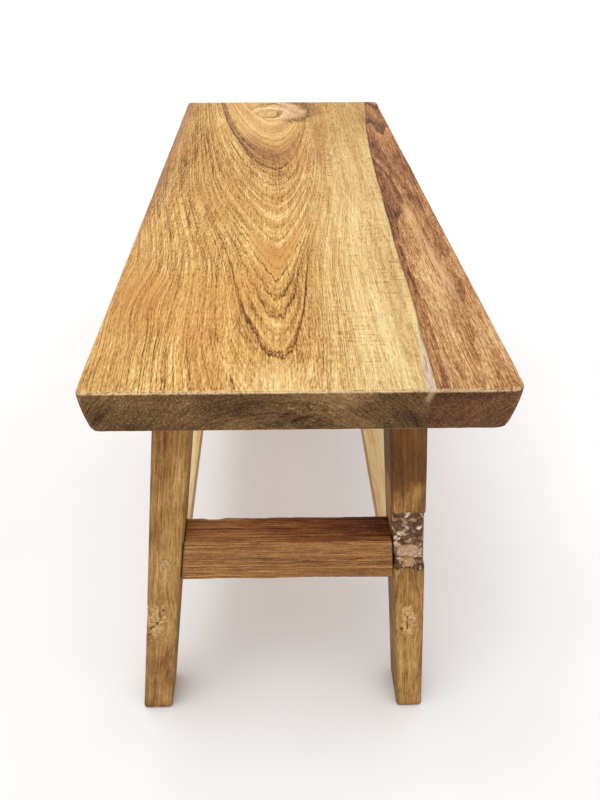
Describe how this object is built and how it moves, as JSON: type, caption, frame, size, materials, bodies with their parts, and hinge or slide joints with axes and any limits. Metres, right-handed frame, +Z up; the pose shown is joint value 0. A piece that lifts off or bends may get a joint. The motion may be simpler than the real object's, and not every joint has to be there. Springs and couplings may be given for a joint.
{
  "type": "backless bench",
  "caption": "Rustic backless bench of solid wood: a thick slab seat on splayed square legs, with end stretchers and side rails in pegged tenons.",
  "frame": {"origin": "on the floor, at the middle of the bench's footprint", "axes": "+Y along the bench away from its near end, +Z up, +X to the right as seen from the near end"},
  "size_m": [0.35, 0.96, 0.45],
  "materials": {
    "seat_wood": "oiled, satin",
    "leg_wood": "oiled, matte, rough sawn",
    "stretcher_wood": "oiled, matte",
    "rail_wood": "oiled, matte",
    "peg_wood": "end grain, matte"
  },
  "bodies": {
    "root": {"seat_slab": "seat_wood", "near_left_leg": "leg_wood", "near_right_leg": "leg_wood", "far_left_leg": "leg_wood", "far_right_leg": "leg_wood", "near_end_stretcher": "stretcher_wood", "far_end_stretcher": "stretcher_wood", "left_side_rail": "rail_wood", "right_side_rail": "rail_wood", "near_left_stretcher_peg": "peg_wood", "near_right_stretcher_peg": "peg_wood", "far_left_stretcher_peg": "peg_wood", "far_right_stretcher_peg": "peg_wood", "near_left_rail_peg": "peg_wood", "near_right_rail_peg": "peg_wood", "far_left_rail_peg": "peg_wood", "far_right_rail_peg": "peg_wood", "near_left_tenon_wedge": "peg_wood", "near_right_tenon_wedge": "peg_wood", "far_left_tenon_wedge": "peg_wood", "far_right_tenon_wedge": "peg_wood"}
  },
  "joints": []
}
